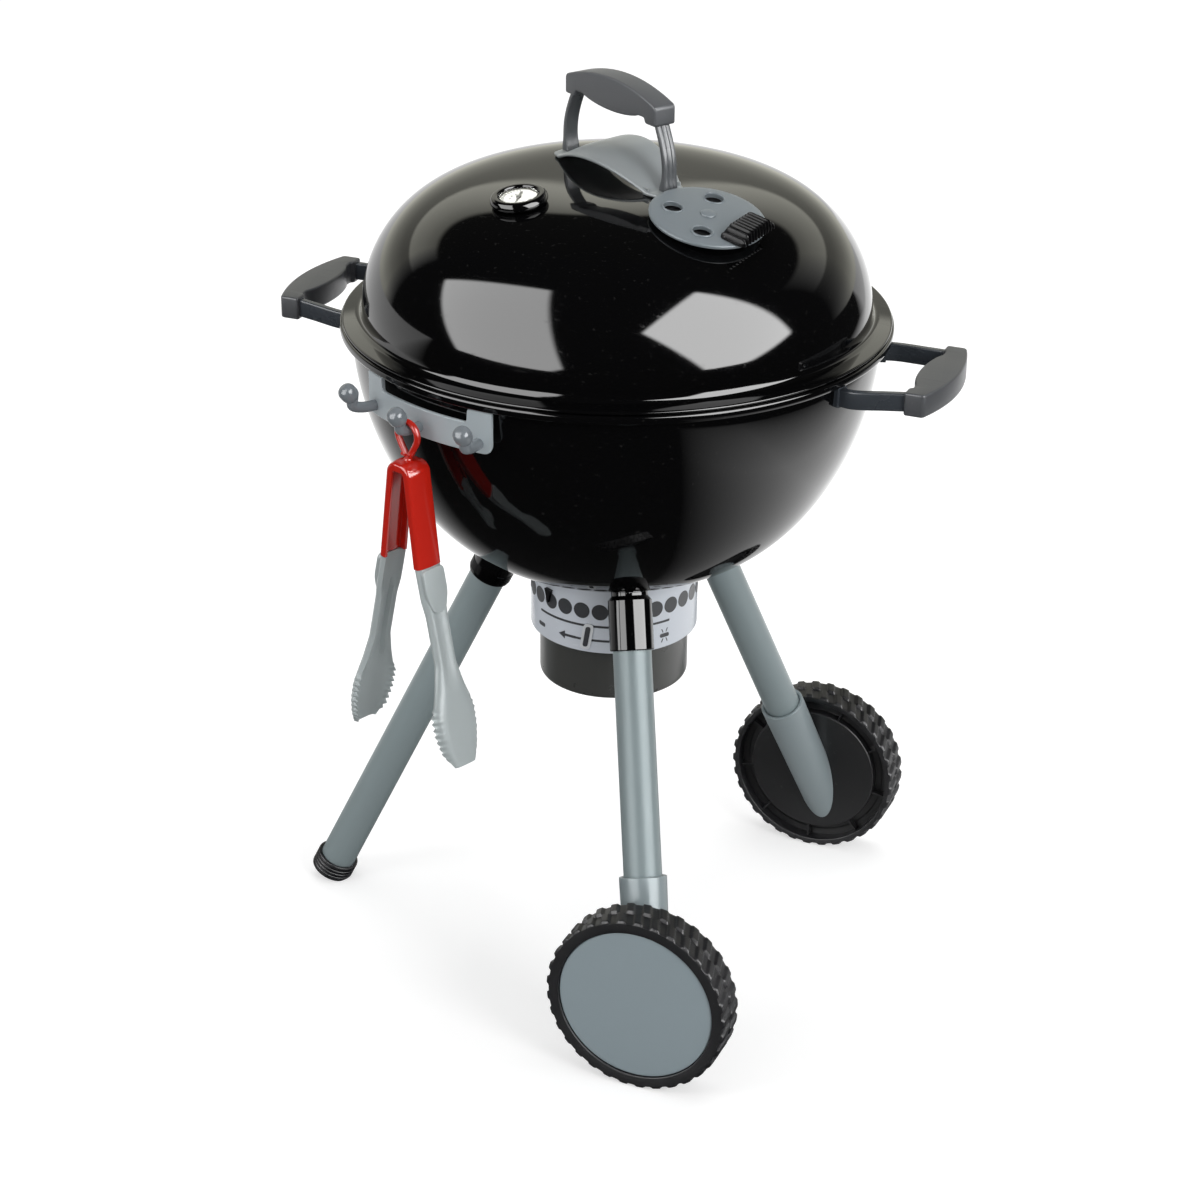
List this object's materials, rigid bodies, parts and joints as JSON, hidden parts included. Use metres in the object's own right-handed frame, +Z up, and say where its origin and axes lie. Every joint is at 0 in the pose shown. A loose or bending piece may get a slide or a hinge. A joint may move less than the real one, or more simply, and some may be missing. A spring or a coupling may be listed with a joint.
{
  "type": "toy barbecue grill",
  "caption": "Toy kettle barbecue on a tripod of tubes with wheels, a lift-off domed lid, side handles, ash catcher, tool rack with hanging tongs, wire grates and a coal heap.",
  "frame": {"origin": "middle of the object's box, on the ground that it stands on", "axes": "+Z up; the wheels' axles lie along Y; the third leg points to -X, and one side handle is on each of +X and -X"},
  "size_m": [0.4276, 0.3642, 0.5715],
  "materials": {
    "gloss_black": "high gloss black",
    "satin_black": "satin moulded black",
    "grip_grey": "fine grained dark grey",
    "strap_grey": "satin blue-black",
    "post_grey": "satin grey",
    "shield_grey": "satin metallic grey",
    "vent_grey": "satin metallic grey",
    "dial_white": "printed white",
    "lens_clear": "clear",
    "rack_grey": "satin light metallic grey",
    "band_silver": "glossy printed silver",
    "leg_grey": "satin metallic grey",
    "sleeve_grey": "satin metallic grey",
    "tyre_black": "moulded black tread",
    "hubcap_grey": "satin metallic grey",
    "plain_steel": "bright steel",
    "tongs_red": "glossy red",
    "jaw_grey": "satin light grey",
    "cooking_grey": "satin light grey",
    "charcoal_grey": "satin dark grey",
    "coal_black": "glossy black with lit crevices",
    "glow_red": "translucent red"
  },
  "bodies": {
    "stand": {"bowl_shell": "gloss_black", "tool_rack": "rack_grey", "right_handle_grip": "grip_grey", "right_handle_strap_front": "strap_grey", "right_handle_strap_rear": "strap_grey", "left_handle_grip": "grip_grey", "left_handle_strap_front": "strap_grey", "left_handle_strap_rear": "strap_grey", "ash_band": "band_silver", "ash_cup": "satin_black", "leg_collar_front": "gloss_black", "leg_collar_rear": "gloss_black", "leg_collar_foot": "gloss_black", "leg_screw_front": "plain_steel", "leg_screw_rear": "plain_steel", "leg_screw_foot": "plain_steel", "leg_tube_front": "leg_grey", "leg_tube_rear": "leg_grey", "leg_tube_foot": "leg_grey", "wheel_sleeve_front": "sleeve_grey", "wheel_sleeve_rear": "sleeve_grey", "foot_cap": "satin_black", "axle_front": "plain_steel", "axle_rear": "plain_steel", "axle_clip_front": "plain_steel", "axle_clip_rear": "plain_steel"},
    "lid": {"lid_shell": "gloss_black", "lid_heat_shield": "shield_grey", "lid_handle_post_near": "post_grey", "lid_handle_post_far": "post_grey", "lid_handle_grip": "grip_grey", "lid_handle_screw_near": "plain_steel", "lid_handle_screw_far": "plain_steel", "vent_rivet": "vent_grey", "gauge_bezel": "gloss_black", "gauge_dial": "dial_white", "gauge_needle": "satin_black", "gauge_lens": "lens_clear"},
    "vent": {"vent_disc": "vent_grey", "vent_tab": "satin_black"},
    "wheel_front": {"tyre_front": "tyre_black", "wheel_drum_front": "gloss_black", "hubcap_front": "hubcap_grey"},
    "wheel_rear": {"tyre_rear": "tyre_black", "wheel_drum_rear": "gloss_black", "hubcap_rear": "hubcap_grey"},
    "tongs": {"tongs_loop": "tongs_red"},
    "tongs_left": {"tongs_arm_left": "tongs_red", "tongs_jaw_left": "jaw_grey"},
    "tongs_right": {"tongs_arm_right": "tongs_red", "tongs_jaw_right": "jaw_grey"},
    "cooking_rack": {"cooking_grate": "cooking_grey"},
    "charcoal_rack": {"charcoal_grate": "charcoal_grey"},
    "coal_unit": {"coal_heap": "coal_black", "coal_glow_dome": "glow_red", "coal_base": "satin_black", "battery_cover": "satin_black"}
  },
  "joints": [
    {"name": "lid_lift", "type": "slide", "parent": "stand", "child": "lid", "axis": [0, 0, 1], "range_m": [0, 0.15]},
    {"name": "vent_turn", "type": "hinge", "parent": "lid", "child": "vent", "pos_m": [0.07397, -0.03725, 0.50721], "axis": [0.1918, -0.1227, 0.9737], "range_deg": [-50, 50]},
    {"name": "wheel_front_spin", "type": "hinge", "parent": "stand", "child": "wheel_front", "pos_m": [0.08623, -0.13794, 0.0576], "axis": [0, -1, 0], "continuous": true},
    {"name": "wheel_rear_spin", "type": "hinge", "parent": "stand", "child": "wheel_rear", "pos_m": [0.08623, 0.15806, 0.0576], "axis": [0, 1, 0], "continuous": true},
    {"name": "tongs_swing", "type": "hinge", "parent": "stand", "child": "tongs", "pos_m": [-0.06024, -0.15366, 0.39999], "axis": [0.3453, 0.9385, 0], "range_deg": [-12, 12]},
    {"name": "tongs_right_squeeze", "type": "hinge", "parent": "tongs", "child": "tongs_right", "pos_m": [-0.05752, -0.15466, 0.37691], "axis": [0.3453, 0.9385, 0], "range_deg": [0, 11], "stiffness_Nm_per_rad": 0.5, "springref_deg": -5.73},
    {"name": "tongs_left_squeeze", "type": "hinge", "parent": "tongs", "child": "tongs_left", "pos_m": [-0.06296, -0.15266, 0.37691], "axis": [-0.3453, -0.9385, 0], "range_deg": [0, 11], "stiffness_Nm_per_rad": 0.5, "springref_deg": -5.73},
    {"name": "cooking_grate_lift", "type": "slide", "parent": "stand", "child": "cooking_rack", "axis": [0, 0, 1], "range_m": [0, 0.05]},
    {"name": "charcoal_grate_lift", "type": "slide", "parent": "stand", "child": "charcoal_rack", "axis": [0, 0, 1], "range_m": [0, 0.007]},
    {"name": "coal_lift", "type": "slide", "parent": "charcoal_rack", "child": "coal_unit", "axis": [0, 0, 1], "range_m": [0, 0.007]}
  ],
  "couplings": [
    {"joint": "tongs_left_squeeze", "follows": "tongs_right_squeeze", "ratio": 1}
  ]
}
